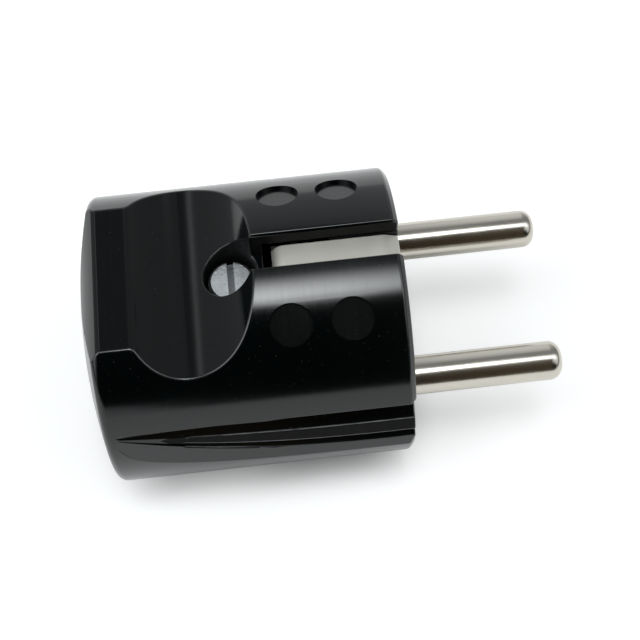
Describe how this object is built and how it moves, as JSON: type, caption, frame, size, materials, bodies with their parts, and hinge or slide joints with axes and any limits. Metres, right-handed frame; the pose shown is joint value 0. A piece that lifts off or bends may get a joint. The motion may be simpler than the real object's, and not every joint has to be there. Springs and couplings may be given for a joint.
{
  "type": "schuko plug",
  "caption": "Rewirable mains plug: round black moulded body with finger scoops, side earth contacts in open slots, a fixing screw and solid round pins.",
  "frame": {"origin": "Centre of the front face, between the two pins, on the plug's axis.", "axes": "+X points the way the pins point, +Y runs from the line pin to the neutral pin, and +Z points out of the upper earth slot, on the side of the fixing screw."},
  "size_m": [0.0574, 0.0354, 0.035],
  "materials": {
    "black_plastic": "glossy black moulding, lightly handled",
    "carrier_plastic": "plain black moulding",
    "nickel": "bright nickel plating on turned brass",
    "earth_strip": "satin nickel plating on brass strip",
    "zinc_steel": "bright zinc plating on steel"
  },
  "bodies": {
    "root": {"housing": "black_plastic", "pin_carrier": "carrier_plastic", "line_pin": "nickel", "neutral_pin": "nickel", "line_terminal_screw": "zinc_steel", "neutral_terminal_screw": "zinc_steel", "earth_bracket": "earth_strip", "earth_sleeve": "earth_strip", "earth_clamp_washer": "zinc_steel", "earth_terminal_screw": "zinc_steel", "housing_screw": "zinc_steel", "housing_nut": "zinc_steel", "cord_clamp": "carrier_plastic", "cord_clamp_screw_near": "zinc_steel", "cord_clamp_screw_far": "zinc_steel"}
  },
  "joints": []
}
